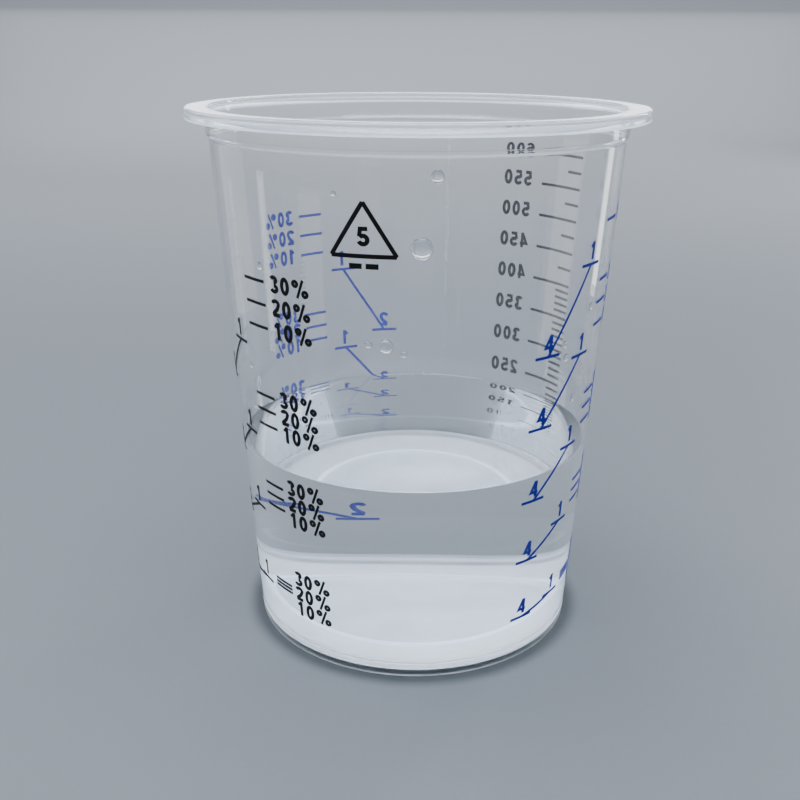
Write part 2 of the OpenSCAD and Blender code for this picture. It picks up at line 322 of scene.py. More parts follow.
@dataclass(frozen=True)
class ClearPlastic:
    """Injection-moulded polypropylene: clear in thin walls, milky in the floor and the rim, with
    painted highlight lines in milky white and a painted shade on the sole.

    The index is the one of the plastic over the one of what touches it: air, or the water. Each
    _milk is a share of milkiness, the lip, brim, ledge and foot shares lay milky white as painted
    highlight lines, each _z or _r is where a soft step starts and ends, and a part that lies between
    two heights has two steps.
    """

    name: str
    index: float
    tint: Colour = (0.985, 0.99, 0.995, 1)
    # Dark tint of the sole: painted shade where the foot meets the board.
    sole_tint: Colour = (0.16, 0.18, 0.2, 1)
    milk: Colour = (0.8, 0.88, 1.0, 1)
    shade: Colour = (0.8, 0.82, 0.84, 1)
    gloss: float = 0.006
    flow_haze: float = 0.012
    floor_haze: float = 0.12
    rim_haze: float = 0.03
    sole_haze: float = 0.35
    milk_haze: float = 0.35
    glow_share: float = 0.5
    wall_milk: float = 0.014
    floor_milk: float = 0.4
    cloud_milk: float = 0.3
    speck_milk: float = 0.02
    ring_milk: float = 0.6
    rim_milk: float = 0.2
    # Shares of milky white that paint highlight lines on the lip, the brim, the inner ledge and the
    # foot.
    lip_milk: float = 0.8
    brim_milk: float = 0.12
    ledge_milk: float = 0.4
    foot_milk: float = 0.85
    floor_z: Point = (3.2 * MM, 4.4 * MM)
    floor_r: Point = (36.0 * MM, 37.6 * MM)
    ring_in: Point = (24.8 * MM, 25.3 * MM)
    ring_out: Point = (26.2 * MM, 27.0 * MM)
    rim_z: Point = (121.2 * MM, 123.8 * MM)
    # Bands of the painted highlight lines on the lip, the brim, the inner ledge and the foot.
    lip_z: Band = ((121.6 * MM, 121.9 * MM), (122.3 * MM, 122.7 * MM))
    lip_r: Point = (50.6 * MM, 51.0 * MM)
    brim_z: Point = (123.9 * MM, 124.2 * MM)
    brim_r: Point = (51.0 * MM, 51.3 * MM)
    ledge_z: Band = ((117.9 * MM, 118.0 * MM), (118.5 * MM, 118.7 * MM))
    ledge_r: Point = (46.5 * MM, 46.7 * MM)
    foot_z: Band = ((2.2 * MM, 2.5 * MM), (3.2 * MM, 3.6 * MM))
    foot_r: Point = (38.8 * MM, 39.2 * MM)
    # Where the sole's painted shade and its extra roughness start.
    sole_z: Point = (1.5 * MM, 2.2 * MM)
    flow_waves: float = 45
    flow_stretch: tuple[float, float, float] = (1, 1, 0.25)
    flow_depth: float = 0.12 * MM
    flow_strength: float = 0.3
    cloud_waves: float = 70
    speck_waves: float = 900
    speck_range: Point = (0.68, 0.76)

    def cloudiness(self, paint: Paint, height: Signal, across: Signal, floor: Signal) -> Signal:
        """How milky the plastic is, painted highlight lines in milky white included.

        Args:
            paint: The material that is being made.
            height: Height above the ground.
            across: Distance from the axis.
            floor: 1 in the floor and 0 elsewhere.

        Returns:
            The milky share, painted highlights included, from 0 to 1.
        """
        cloudy = paint.noise(self.cloud_waves, 3)
        specks = paint.noise(self.speck_waves, 2).between(*self.speck_range)
        ring = floor * across.within(self.ring_in, self.ring_out)
        # Painted highlights: milky white lines on the lip's lower edge, the brim's outer edge, the
        # inner ledge and the foot.
        lip_highlight = height.within(*self.lip_z) * across.between(*self.lip_r)
        brim_highlight = height.between(*self.brim_z) * across.between(*self.brim_r)
        ledge = height.within(*self.ledge_z) * (1 - across.between(*self.ledge_r))
        foot_highlight = height.within(*self.foot_z) * across.between(*self.foot_r)
        share = self.wall_milk + floor * (self.floor_milk + (cloudy - 0.5) * self.cloud_milk)
        share = share + ring * self.ring_milk + height.between(*self.rim_z) * self.rim_milk
        share = share + specks * self.speck_milk + lip_highlight * self.lip_milk + brim_highlight * self.brim_milk
        return share + foot_highlight * self.foot_milk + ledge * self.ledge_milk

    def make(self) -> bpy.types.Material:
        """Makes the material."""
        paint = Paint.on(self.name)
        height = paint.node("ShaderNodeSeparateXYZ", inputs={0: paint.place})["Z"]
        across = paint.across()
        floor = (1 - height.between(*self.floor_z)) * (1 - across.between(*self.floor_r))
        rim = height.between(*self.rim_z)
        # The sole mask darkens the colour as painted shade and adds real roughness.
        sole = 1 - height.between(*self.sole_z)
        flow = paint.noise(self.flow_waves, 4, self.flow_stretch)
        roughness = self.gloss + flow * self.flow_haze + floor * self.floor_haze
        roughness = roughness + rim * self.rim_haze + sole * self.sole_haze
        body = paint.principled(
            Base_Color=paint.blend(sole, self.tint, self.sole_tint), Roughness=roughness,
            IOR=self.index, Transmission_Weight=1.0,
            Normal=paint.bump(flow, self.flow_depth, self.flow_strength),
        )
        milk = paint.principled(Base_Color=self.milk, Roughness=self.milk_haze, IOR=self.index)
        glow = paint.node("ShaderNodeBsdfTranslucent", inputs={"Color": self.milk})[0]
        cloud = paint.mix(self.glow_share, milk, glow)
        share = self.cloudiness(paint, height, across, floor)
        return paint.shown(paint.lets_light_by(paint.mix(share, body, cloud), self.shade))


@dataclass(frozen=True)
class Water:
    """Clear water. The index is the one of the water over the one of what touches it."""

    name: str
    index: float
    tint: Colour = (0.985, 0.995, 1.0, 1)
    shade: Colour = (0.94, 0.95, 0.96, 1)
    swell: float = 0.05 * MM
    swell_waves: float = 28

    def make(self) -> bpy.types.Material:
        """Makes the material."""
        paint = Paint.on(self.name)
        body = paint.principled(
            Base_Color=self.tint, Roughness=0.0, IOR=self.index, Transmission_Weight=1.0,
            Normal=paint.bump(paint.noise(self.swell_waves, 2), self.swell),
        )
        return paint.shown(paint.lets_light_by(body, self.shade))


@dataclass(frozen=True)
class Ink:
    """Screen-printed ink: an even satin film that thins out here and there."""

    name: str
    full: Colour
    thin: Colour
    index: float = 1.3
    satin: float = 0.5
    patch_satin: float = 0.2
    patch_waves: float = 420
    patch_range: Point = (0.52, 0.8)
    grain_waves: float = 2600
    grain_depth: float = 0.02 * MM
    grain_strength: float = 0.5

    def make(self) -> bpy.types.Material:
        """Makes the material."""
        paint = Paint.on(self.name)
        grain = paint.noise(self.grain_waves, 2)
        patches = paint.noise(self.patch_waves, 3)
        film = paint.principled(
            Base_Color=paint.blend(patches.between(*self.patch_range), self.full, self.thin),
            Roughness=self.satin + patches * self.patch_satin, IOR=self.index,
            Normal=paint.bump(grain, self.grain_depth, self.grain_strength),
        )
        return paint.shown(film)


@dataclass(frozen=True)
class StudioFloor:
    """Smooth matt board, its colour graded from front to back as painted light, darkened up the sweep
    as painted shade, with a painted shadow round the foot of the cup.
    """

    # The near, back and top colours paint the fall of light: darker near the front, lighter towards the
    # back and up the sweep.
    near: Colour = (0.106, 0.122, 0.147, 1)
    back: Colour = (0.245, 0.265, 0.298, 1)
    top: Colour = (0.425, 0.46, 0.51, 1)
    # Colour of the painted shade: the darkening up the sweep and the painted shadow round the foot.
    dark: Colour = (0.025, 0.032, 0.04, 1)
    back_y: Point = (0.1, 1.0)
    top_y: Point = (0.75, 1.35)
    # Painted shade that darkens the sweep higher up.
    dim_z: Point = (0.06, 0.25)
    dim_share: float = 0.3
    # Painted shadow: a dark ring under and just outside the foot, and soft shade fading outwards round
    # the cup.
    contact_r: Band = ((33 * MM, 36 * MM), (39.5 * MM, 44.5 * MM))
    contact_share: float = 0.9
    around_r: Point = (34 * MM, 130 * MM)
    around_share: float = 0.2
    matt: float = 0.62
    grain_matt: float = 0.1
    grain_waves: float = 600
    grain_depth: float = 0.05 * MM
    grain_strength: float = 0.3

    def make(self) -> bpy.types.Material:
        """Makes the material."""
        paint = Paint.on("studio_floor")
        split = paint.node("ShaderNodeSeparateXYZ", inputs={0: paint.place})
        across = paint.across()
        # Painted light: the board is graded from the near colour to the back and top colours.
        board = paint.blend(split["Y"].between(*self.back_y), self.near, self.back)
        board = paint.blend(split["Y"].between(*self.top_y), board, self.top)
        # Painted shade: the sweep darkens higher up.
        painted_dim = split["Z"].between(*self.dim_z) * self.dim_share
        board = paint.blend(painted_dim, board, self.dark)
        # Painted shadow round the foot: the dark contact ring and the soft shade around it.
        contact_shadow = across.within(*self.contact_r) * self.contact_share
        around = (1 - across.between(*self.around_r)) * self.around_share
        board = paint.blend(contact_shadow + around, board, self.dark)
        grain = paint.noise(self.grain_waves, 4)
        surface = paint.principled(
            Base_Color=board, Roughness=self.matt + grain * self.grain_matt,
            Normal=paint.bump(grain, self.grain_depth, self.grain_strength),
        )
        return paint.shown(surface)


# ---- The cup and what is in it ----


@dataclass
class Cup:
    """The moulded cup. Its overall size comes from the frame, the rest from the CAD source."""

    base_r: float = 39.4 * MM
    wall_top_r: float = 46.85 * MM
    wall_t: float = 0.9 * MM
    floor_top: float = 2.6 * MM
    floor_t: float = 1.1 * MM
    corner_r: float = 2.5 * MM
    foot_t: float = 1.6 * MM
    foot_round: float = 0.6 * MM
    raise_outer_r: float = 28.5 * MM
    raise_slope_w: float = 3.2 * MM
    raise_h: float = 0.8 * MM
    lip_h: float = 2.5 * MM
    lip_t: float = 1.0 * MM
    rim_t: float = 1.1 * MM
    rim_round: float = 0.45 * MM
    collar_h: float = 6.4 * MM
    shoulder_out: float = 0.6 * MM
    shoulder_h: float = 0.7 * MM
    shoulder_soft: float = 0.45 * MM
    edge_round: float = 0.2 * MM
    climb: float = 0.45 * MM
    wet_slack: float = 0.1 * MM
    steps: int = 256
    sharp_deg: float = 28
    height: float = field(init=False)
    rim_r: float = field(init=False)
    water_z: float = field(init=False)
    contact_z: float = field(init=False)
    shoulder_z: float = field(init=False)
    slope: float = field(init=False)
    lean: float = field(init=False)
    collar_r: float = field(init=False)
    mouth_r: float = field(init=False)
    floor_r: float = field(init=False)
    raise_inner_r: float = field(init=False)

    def __post_init__(self) -> None:
        """Reads the overall sizes from the frame and works out the rest."""
        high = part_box("cup")[1]
        self.rim_r = high[0]
        self.height = high[2]
        self.water_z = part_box("water")[1][2]
        self.contact_z = self.water_z + self.climb
        self.shoulder_z = self.height - self.collar_h
        self.slope = (self.wall_top_r - self.base_r) / self.shoulder_z
        self.lean = math.degrees(math.atan(self.slope))
        self.collar_r = self.wall_top_r + self.shoulder_out
        self.mouth_r = self.collar_r - self.wall_t
        self.floor_r = self.bore_r(self.floor_top)
        self.raise_inner_r = self.raise_outer_r - self.raise_slope_w

    def wall_r(self, z: float) -> float:
        """Radius of the outer wall at a height."""
        return self.base_r + self.slope * z

    def bore_r(self, z: float) -> float:
        """Radius of the inner wall at a height."""
        return self.wall_r(z) - self.wall_t

    def level(self, ml: float) -> float:
        """Height of the surface when the cup holds a volume in millilitres."""
        a, b = self.raise_outer_r, self.raise_inner_r
        raised = math.pi / 3 * self.raise_h * (a * a + a * b + b * b)
        corner = (1 - math.pi / 4) * self.corner_r**2 * TURN * self.floor_r
        cone = 3 * self.slope * (ml * ML + raised + corner) / math.pi
        return self.floor_top + ((self.floor_r**3 + cone) ** (1 / 3) - self.floor_r) / self.slope

    def shoulder(self, inwards: float, way: int) -> list[Point]:
        """The soft step from the wall out to the collar.

        Args:
            inwards: Distance from the outer surface.
            way: 1 for upwards, -1 for downwards.

        Returns:
            The step's points.
        """
        low = self.shoulder_z - self.shoulder_soft
        rise = self.shoulder_h + 2 * self.shoulder_soft
        start = self.wall_r(low)
        points = []
        for i in range(13):
            t = i / 12
            out = (self.collar_r - start) * t * t * (3 - 2 * t)
            points.append((start + out - inwards, low + rise * t))
        return points[::way]

    def outside(self) -> list[Point]:
        """Outline of the underside and the outside, from the axis up to the rim."""
        e = self.edge_round
        under = self.floor_top - self.floor_t
        foot_in = self.base_r - self.foot_t
        lip_in = self.rim_r - self.lip_t
        low = self.height - self.lip_h
        ledge = self.height - self.rim_t
        top_round = self.rim_round
        return [
            (0.0, under + self.raise_h),
            (self.raise_inner_r, under + self.raise_h),
            (self.raise_outer_r, under),
            *round_arc(foot_in - e, under - e, e, 90, 0, 4),
            *round_arc(foot_in + e, e, e, 180, 270, 4),
            *round_arc(self.base_r - self.foot_round, self.foot_round, self.foot_round, -90, 0, 8),
            *self.shoulder(0.0, 1),
            *round_arc(self.collar_r + e, ledge - e, e, 180, 90, 4),
            *round_arc(lip_in - e, ledge - e, e, 90, 0, 4),
            *round_arc(lip_in + e, low + e, e, 180, 270, 4),
            *round_arc(self.rim_r - e, low + e, e, -90, 0, 4),
            *round_arc(self.rim_r - top_round, self.height - top_round, top_round, 0, 90, 8),
        ]

    def inside(self) -> list[Point]:
        """Outline of the inside, from the rim down to the axis."""
        corner_x = self.bore_r(self.floor_top + self.corner_r) - self.corner_r
        wet_z = self.contact_z
        top_round = self.rim_round
        return [
            *round_arc(self.mouth_r + top_round, self.height - top_round, top_round, 90, 180, 8),
            *self.shoulder(self.wall_t, -1),
            (self.bore_r(wet_z), wet_z),
            *round_arc(corner_x, self.floor_top + self.corner_r, self.corner_r, -self.lean, -90, 12),
            (self.raise_outer_r, self.floor_top),
            (self.raise_inner_r, self.floor_top + self.raise_h),
            (0.0, self.floor_top + self.raise_h),
        ]

    def build(self) -> bpy.types.Object:
        """Makes the cup's piece."""
        bm = lathe(self.outside() + self.inside(), self.steps)
        for face in bm.faces:
            face.material_index = int(self.is_wet(face.calc_center_median()))
        dry = ClearPlastic("clear_plastic", PLASTIC_INDEX).make()
        wet = ClearPlastic(
            "wet_plastic", PLASTIC_INDEX / WATER_INDEX,
            floor_z=(4.5 * MM, 4.9 * MM), floor_r=(40 * MM, 41 * MM),
        ).make()
        piece = finished("moulded_cup", bm, [dry, wet], self.sharp_deg)
        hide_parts("cup")
        return piece

    def is_wet(self, place: Vector) -> bool:
        """Whether a place on the cup's surface touches the water."""
        inner = place.xy.length < self.bore_r(place.z) + self.wall_t / 3
        return inner and self.floor_top - self.wet_slack < place.z < self.contact_z

    def on_wall(self, az: float, z: float, out: float, inner: bool = False) -> Vector:
        """A point on the wall.

        Args:
            az: Azimuth in degrees.
            z: Height.
            out: Distance outwards from the wall.
            inner: Whether the wall is the inner one.

        Returns:
            The point.
        """
        r = (self.bore_r(z) if inner else self.wall_r(z)) + out
        a = math.radians(az)
        return Vector((r * math.sin(a), r * math.cos(a), z))


@dataclass
class Fill:
    """The water, which wets the wall and climbs it a little."""

    cup: Cup
    climb_w: float = 1.1 * MM
    bend_shares: Sequence[float] = (1.0, 0.85, 0.7, 0.5, 0.3, 0.0)
    soak: float = 0.2 * MM
    skin: float = 0.01 * MM

    def outline(self) -> list[Point]:
        """Outline of the water; its sides lie just inside the wall so that no air is between them."""
        cup = self.cup
        top = cup.water_z
        low = cup.floor_top - self.soak
        r = cup.corner_r
        corner_x = cup.bore_r(cup.floor_top + r) - r
        edge = cup.bore_r(cup.contact_z)
        bend = [(edge - self.climb_w * (1 - t), top + cup.climb * t**3) for t in self.bend_shares]
        return [
            (0.0, low + cup.raise_h),
            (cup.raise_inner_r, low + cup.raise_h),
            (cup.raise_outer_r, low),
            *round_arc(corner_x, cup.floor_top + r, r + self.soak, -90, -cup.lean, 12),
            (edge + self.soak, cup.contact_z),
            *bend,
            (0.0, top),
        ]

    def is_side(self, face: bmesh.types.BMFace) -> bool:
        """Whether a face touches the cup, not the air."""
        cup = self.cup
        place = face.calc_center_median()
        under = place.z < cup.water_z - self.skin
        return under or place.xy.length > cup.bore_r(cup.contact_z)

    def build(self) -> bpy.types.Object:
        """Makes the water's piece."""
        bm = lathe(self.outline(), self.cup.steps)
        for face in bm.faces:
            face.material_index = int(self.is_side(face))
        surface = Water("water_surface", WATER_INDEX).make()
        side = Water("water_side", UNSEEN_INDEX).make()
        piece = finished("water_fill", bm, [surface, side], self.cup.sharp_deg)
        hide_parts("water")
        return piece


@dataclass
class WallDrops:
    """Drops of water on the inside of the wall.

    Each spot is an azimuth in degrees, a height in millimetres and a radius in millimetres.
    """

    cup: Cup
    spots: Sequence[tuple[float, float, float]] = (
        (179.4, 100.8, 2.2),
        (176.0, 114.5, 1.3),
        (188.4, 80.7, 1.5),
        (193.1, 80.9, 0.8),
        (183.7, 79.1, 0.7),
        (201.1, 110.8, 0.6),
        (227.0, 94.1, 0.9),
        (236.6, 70.4, 0.7),
        (236.9, 60.8, 0.7),
        (134.5, 77.4, 0.9),
        (133.2, 74.3, 0.9),
        (126.9, 63.7, 0.9),
        (121.9, 84.0, 0.9),
    )
    flatness: float = 0.42
    tallness: float = 1.05
    soak: float = 0.1 * MM
    sharp_deg: float = 60

    def build(self) -> bpy.types.Object:
        """Makes the drops' piece: each drop is a flattened ball sunk a little into the wall."""
        bm = bmesh.new()
        for az, z_mm, r_mm in self.spots:
            z, r = z_mm * MM, r_mm * MM
            made = bmesh.ops.create_uvsphere(bm, u_segments=24, v_segments=14, radius=1.0)
            turn = Matrix.Rotation(math.radians(90 - az), 4, "Z") @ Matrix.Rotation(
                math.radians(self.cup.lean), 4, "Y"
            )
            shape = Matrix.Diagonal((r * self.flatness, r, r * self.tallness, 1))
            place = Matrix.Translation(self.cup.on_wall(az, z, self.soak, inner=True))
            bmesh.ops.transform(bm, matrix=place @ turn @ shape, verts=made["verts"])
        bmesh.ops.recalc_face_normals(bm, faces=bm.faces)
        water = Water("water_drops", WATER_INDEX).make()
        piece = finished("wall_drops_wet", bm, [water], self.sharp_deg)
        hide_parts("wall_drops")
        return piece


# ---- Print ----


class Figure(Enum):
    """The printed figures, each drawn one unit high by strokes of a pen."""

    ZERO = "0"
    ONE = "1"
    TWO = "2"
    THREE = "3"
    FOUR = "4"
    FIVE = "5"
    SIX = "6"
    SEVEN = "7"
    EIGHT = "8"
    NINE = "9"
    PERCENT = "%"

    @property
    def advance(self) -> float:
        """Width that the figure takes in a row."""
        return 1.27 if self is Figure.PERCENT else 0.79

    def strokes(self, pen: float) -> list[tuple[list[Point], bool, float]]:
        """The pen's strokes for this figure.

        Args:
            pen: Width of the pen.

        Returns:
            Each stroke as its points, whether it closes on itself, and its share of the pen's width.
        """
        h = pen / 2
        if self is Figure.ZERO:
            return [(arc((0, 0.5), (0.255 - h / 2, 0.5 - h), 0, 348, 29), True, 1)]
        if self is Figure.ONE:
            flag = [(-0.2, 0.745), (-0.1, 0.775), (-0.01, 0.85), (0.035, 0.96)]
            return [([(0.07, 0), (0.07, 1)], False, 1), (flag, False, 0.8)]
        if self is Figure.TWO:
            hook = arc((0, 0.72), (0.225, 0.28 - h), 172, -22, 14)
            neck = [(0.11, 0.44), (-0.13, 0.24), (-0.225, h)]
            return [(hook + neck, False, 1), ([(-0.26, h), (0.27, h)], False, 1)]
        if self is Figure.THREE:
            top = arc((-0.01, 0.75), (0.195, 0.25 - h), 165, -90, 14)
            low = arc((-0.01, 0.275), (0.225, 0.275 - h), 90, -165, 16)
            return [(top, False, 1), (low, False, 1)]
        if self is Figure.FOUR:
            arm = [(0.1, 0.985), (-0.25, 0.29), (0.3, 0.29)]
            return [([(0.12, 0), (0.12, 1)], False, 1), (arm, False, 0.85)]
        if self is Figure.FIVE:
            flag = [(0.23, 1 - h), (-0.145, 1 - h), (-0.195, 0.49)]
            bowl = arc((-0.005, 0.325), (0.225, 0.325 - h), 140, -162, 18)
            return [(flag, False, 0.95), (bowl, False, 1)]
        if self is Figure.SIX:
            bowl = arc((0.005, 0.32), (0.215, 0.32 - h), 0, 345, 23)
            back = arc((0.03, 0.5), (0.245, 0.5 - h), 205, 38, 14)
            return [(bowl, True, 1), (back, False, 1)]
        if self is Figure.SEVEN:
            slope = [(0.24, 1 - h), (0.1, 0.75), (-0.03, 0.42), (-0.09, 0)]
            return [([(-0.25, 1 - h), (0.26, 1 - h)], False, 1), (slope, False, 1)]
        if self is Figure.EIGHT:
            top = arc((0, 0.745), (0.18, 0.255 - h), 0, 345, 23)
            low = arc((0, 0.28), (0.22, 0.28 - h), 0, 345, 23)
            return [(top, True, 1), (low, True, 1)]
        if self is Figure.NINE:
            turned = Figure.SIX.strokes(pen)
            return [([(-x, 1 - y) for x, y in row], ring, share) for row, ring, share in turned]
        left = arc((-0.31, 0.755), (0.135, 0.245 - h), 0, 340, 17)
        right = arc((0.31, 0.245), (0.135, 0.245 - h), 0, 340, 17)
        return [(left, True, 0.85), (right, True, 0.85), ([(-0.2, 0), (0.2, 1)], False, 0.7)]


class Film:
    """Ink on the wall, drawn flat with x to the right and y up, and then laid round the cone."""

    def __init__(self, cup: Cup, finish: bpy.types.Material, sink: float, proud: float) -> None:
        """Starts an empty film.

        Args:
            cup: The cup whose wall carries the ink.
            finish: The ink.
            sink: How far the film reaches into the wall.
            proud: How far it stands out of the wall.
        """
        self.cup = cup
        self.finish = finish
        self.sink = sink
        self.proud = proud
        self.bm = bmesh.new()

    def _nib(self, points: Sequence[Point], i: int, ring: bool, half: float) -> tuple[Vector, Vector]:
        """The two sides of the pen at one point of a stroke."""
        count = len(points)
        here = Vector(points[i])
        before = Vector(points[(i - 1) % count]) if ring or i > 0 else None
        after = Vector(points[(i + 1) % count]) if ring or i < count - 1 else None
        into = (here - before).normalized() if before is not None else (after - here).normalized()
        onto = (after - here).normalized() if after is not None else into
        side = Vector((-into.y, into.x))
        mitre = (side + Vector((-onto.y, onto.x))).normalized()
        reach = half / max(0.5, mitre.dot(side))
        return here + mitre * reach, here - mitre * reach

    def _ribbon(self, points: Sequence[Point], ring: bool, width: float) -> list[bmesh.types.BMVert]:
        """Lays a strip of squares along a stroke, as wide as the pen.

        Args:
            points: The stroke's points.
            ring: Whether the stroke closes on itself.
            width: Width of the pen.

        Returns:
            The strip's vertices.
        """
        sides = [self._nib(points, i, ring, width / 2) for i in range(len(points))]
        sides += sides[:1] if ring else []
        cells = len(sides) - 1
        verts = bmesh.ops.create_grid(self.bm, x_segments=cells, y_segments=1, size=1.0)["verts"]
        for v in verts:
            left, right = sides[round((v.co.x + 1) / 2 * cells)]
            at = left if v.co.y > 0 else right
            v.co = (at.x, at.y, 0)
        if ring:
            bmesh.ops.remove_doubles(self.bm, verts=verts, dist=width * 0.01)
        return [v for v in verts if v.is_valid]

    def _lay(self, verts: list[bmesh.types.BMVert], az: float, z: float) -> None:
        """Gives a flat strip the film's thickness and lays it on the wall about a point."""
        faces = list({f for v in verts for f in v.link_faces})
        made = bmesh.ops.extrude_face_region(self.bm, geom=faces, use_keep_orig=True)
        tops = [item for item in made["geom"] if isinstance(item, bmesh.types.BMVert)]
        around = self.cup.wall_r(z)
        rise = math.cos(math.radians(self.cup.lean))
        for group, out in ((verts, -self.sink), (tops, self.proud)):
            for v in group:
                v.co = self.cup.on_wall(az - math.degrees(v.co.x / around), z + v.co.y * rise, out)

    def line(self, start: Point, end: Point, width: float) -> None:
        """A straight line on the wall between two places, each given as azimuth and height."""
        az, z = (start[0] + end[0]) / 2, (start[1] + end[1]) / 2
        around = math.radians(1) * self.cup.wall_r(z)
        rise = math.cos(math.radians(self.cup.lean))
        half = Vector(((start[0] - end[0]) * around / 2, (end[1] - start[1]) / 2 / rise))
        runs = max(1, round(half.length * 2 / (1.0 * MM)))
        points = [tuple(half * (2 * i / runs - 1)) for i in range(runs + 1)]
        self._lay(self._ribbon(points, False, width), az, z)

    def number(self, word: str, az: float, z: float, height: float, pen: float) -> None:
        """A number centred on an azimuth and a height.

        Args:
            word: Its figures.
            az: Azimuth of its middle.
            z: Height of its middle.
            height: Height of the figures.
            pen: Width of the pen, as a share of the height.
        """
        figures = [Figure(letter) for letter in word]
        total = sum(f.advance for f in figures)
        across = -total / 2
        low = z - height / 2
        for f in figures:
            middle = (across + f.advance / 2) * height
            for row, ring, share in f.strokes(pen):
                points = [(middle + x * height, y * height) for x, y in row]
                self._lay(self._ribbon(points, ring, pen * share * height), az, low)
            across += f.advance

    def build(self, name: str, node: str, slot: str) -> bpy.types.Object:
        """Makes the film's piece, which stands for a CAD node."""
        bmesh.ops.recalc_face_normals(self.bm, faces=self.bm.faces)
        piece = finished(name, self.bm, [self.finish])
        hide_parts(node)
        return piece


@dataclass(frozen=True)
class Press:
    """What all the prints share."""

    line_w: float = 0.68 * MM
    digit_h: float = 3.9 * MM
    digit_gap: float = 1.0 * MM
    pen: float = 0.23
    sink: float = 0.03 * MM
    proud: float = 0.03 * MM


@dataclass
class MillilitreScale:
    """The black scale of volumes at the back right."""

    cup: Cup
    press: Press
    ink: bpy.types.Material
    top_ml: int = 600
    edge_az: float = 65.6
    long_span: float = 18.5
    short_span: float = 7.1
    label_az: float = 37.5
    fine_ml: int = 400
    lift: float = 0.9 * MM

    def build(self) -> list[bpy.types.Object]:
        """Makes the marks and the numbers."""
        marks = Film(self.cup, self.ink, self.press.sink, self.press.proud)
        numbers = Film(self.cup, self.ink, self.press.sink, self.press.proud)
        long_marks = range(50, self.top_ml + 1, 50)
        short_marks = [ml for ml in range(10, self.fine_ml, 10) if ml % 50]
        short_marks += list(range(self.fine_ml + 25, self.top_ml, 50))
        spans = [(ml, self.long_span) for ml in long_marks]
        spans += [(ml, self.short_span) for ml in short_marks]
        for ml, span in spans:
            z = self.cup.level(ml)
            marks.line((self.edge_az, z), (self.edge_az - span, z), self.press.line_w)
        for ml in long_marks:
            z = self.cup.level(ml) + self.lift
            numbers.number(str(ml), self.label_az, z, self.press.digit_h, self.press.pen)
        return [
            marks.build("millilitre_scale_marks", "millilitre_marks", "black_ink"),
            numbers.build("millilitre_scale_numbers", "millilitre_numbers", "black_ink"),
        ]


@dataclass
class MixingScale:
    """A scale for mixing so many parts to one, with percent marks for thinner.

    Each mix is its full volume and the volume of its first mark for thinner, in millilitres.
    """

    cup: Cup
    press: Press
    ink: bpy.types.Material
    name: str
    slot: str
    az: float
    parts: str
    base_share: float
    mixes: Sequence[Point]
    mark_span: float = 9.3
    base_step: float = 15.4
    percent_step: float = 12.4
    label_step: float = 26.3
    percents: Sequence[int] = (10, 20, 30)
    spacing: float = 4.05 * MM
    top_ml: float = 600

    def thinned(self, mix: Point, percent: float) -> float:
        """Volume of a full mix once so many percent of thinner are in it."""
        return mix[0] + mix[1] * percent / self.percents[0]

    def build(self) -> list[bpy.types.Object]:
        """Makes the marks and the numbers."""
        press, cup = self.press, self.cup
        marks = Film(cup, self.ink, press.sink, press.proud)
        numbers = Film(cup, self.ink, press.sink, press.proud)
        half = self.mark_span / 2
        lift = press.digit_gap + press.digit_h / 2
        base_az = self.az + self.base_step
        percent_az = self.az - self.percent_step
        for mix in self.mixes:
            full_z = cup.level(mix[0])
            base_z = cup.level(mix[0] * self.base_share)
            marks.line((self.az + half, full_z), (self.az - half, full_z), press.line_w)
            marks.line((base_az + half, base_z), (base_az - half, base_z), press.line_w)
            marks.line((base_az, base_z), (self.az, full_z), press.line_w)
            numbers.number("1", self.az, full_z + lift, press.digit_h, press.pen)
            numbers.number(self.parts, base_az, base_z + lift, press.digit_h, press.pen)
            levels = [cup.level(self.thinned(mix, percent)) for percent in self.percents]
            pitch = max(self.spacing, levels[2] - levels[1])
            for i, percent in enumerate(self.percents):
                if self.thinned(mix, percent) > self.top_ml:
                    continue
                z = levels[1] + (i - 1) * pitch
                marks.line((percent_az + half, levels[i]), (percent_az - half, levels[i]), press.line_w)
                numbers.number(f"{percent}%", self.az - self.label_step, z, press.digit_h, press.pen)
        return [
            marks.build(f"{self.name}_lines", f"{self.name}_marks", self.slot),
            numbers.build(f"{self.name}_figures", f"{self.name}_numbers", self.slot),
        ]


@dataclass
class MaterialMark:
    """A plain triangle round a number, with two plain bars under it."""

    cup: Cup
    press: Press
    ink: bpy.types.Material
    az: float = 193.7
    width: float = 13.3 * MM
    tallness: float = 0.79
    number_drop: float = 0.63
    drop: float = 14.9 * MM
    line_w: float = 0.88 * MM
    bar_w: float = 2.6 * MM
    bar_h: float = 1.1 * MM
    bar_gap: float = 0.8 * MM
    bar_drop: float = 2.0 * MM

    def build(self) -> list[bpy.types.Object]:
        """Makes the mark."""
        cup = self.cup
        film = Film(cup, self.ink, self.press.sink, self.press.proud)
        height = self.width * self.tallness
        top = cup.height - self.drop
        per_m = 180 / (math.pi * cup.wall_r(top - height / 2))
        half = self.width / 2 * per_m
        for s in (-1, 1):
            film.line((self.az, top), (self.az - s * half, top - height), self.line_w)
            bars_z = top - height - self.bar_drop
            near, far = self.bar_gap / 2 * per_m, (self.bar_gap / 2 + self.bar_w) * per_m
            film.line((self.az - s * near, bars_z), (self.az - s * far, bars_z), self.bar_h)
        film.line((self.az + half, top - height), (self.az - half, top - height), self.line_w)
        film.number("5", self.az, top - height * self.number_drop, self.press.digit_h, self.press.pen)
        return [film.build("material_triangle", "material_mark", "black_ink")]


# ---- Studio ----


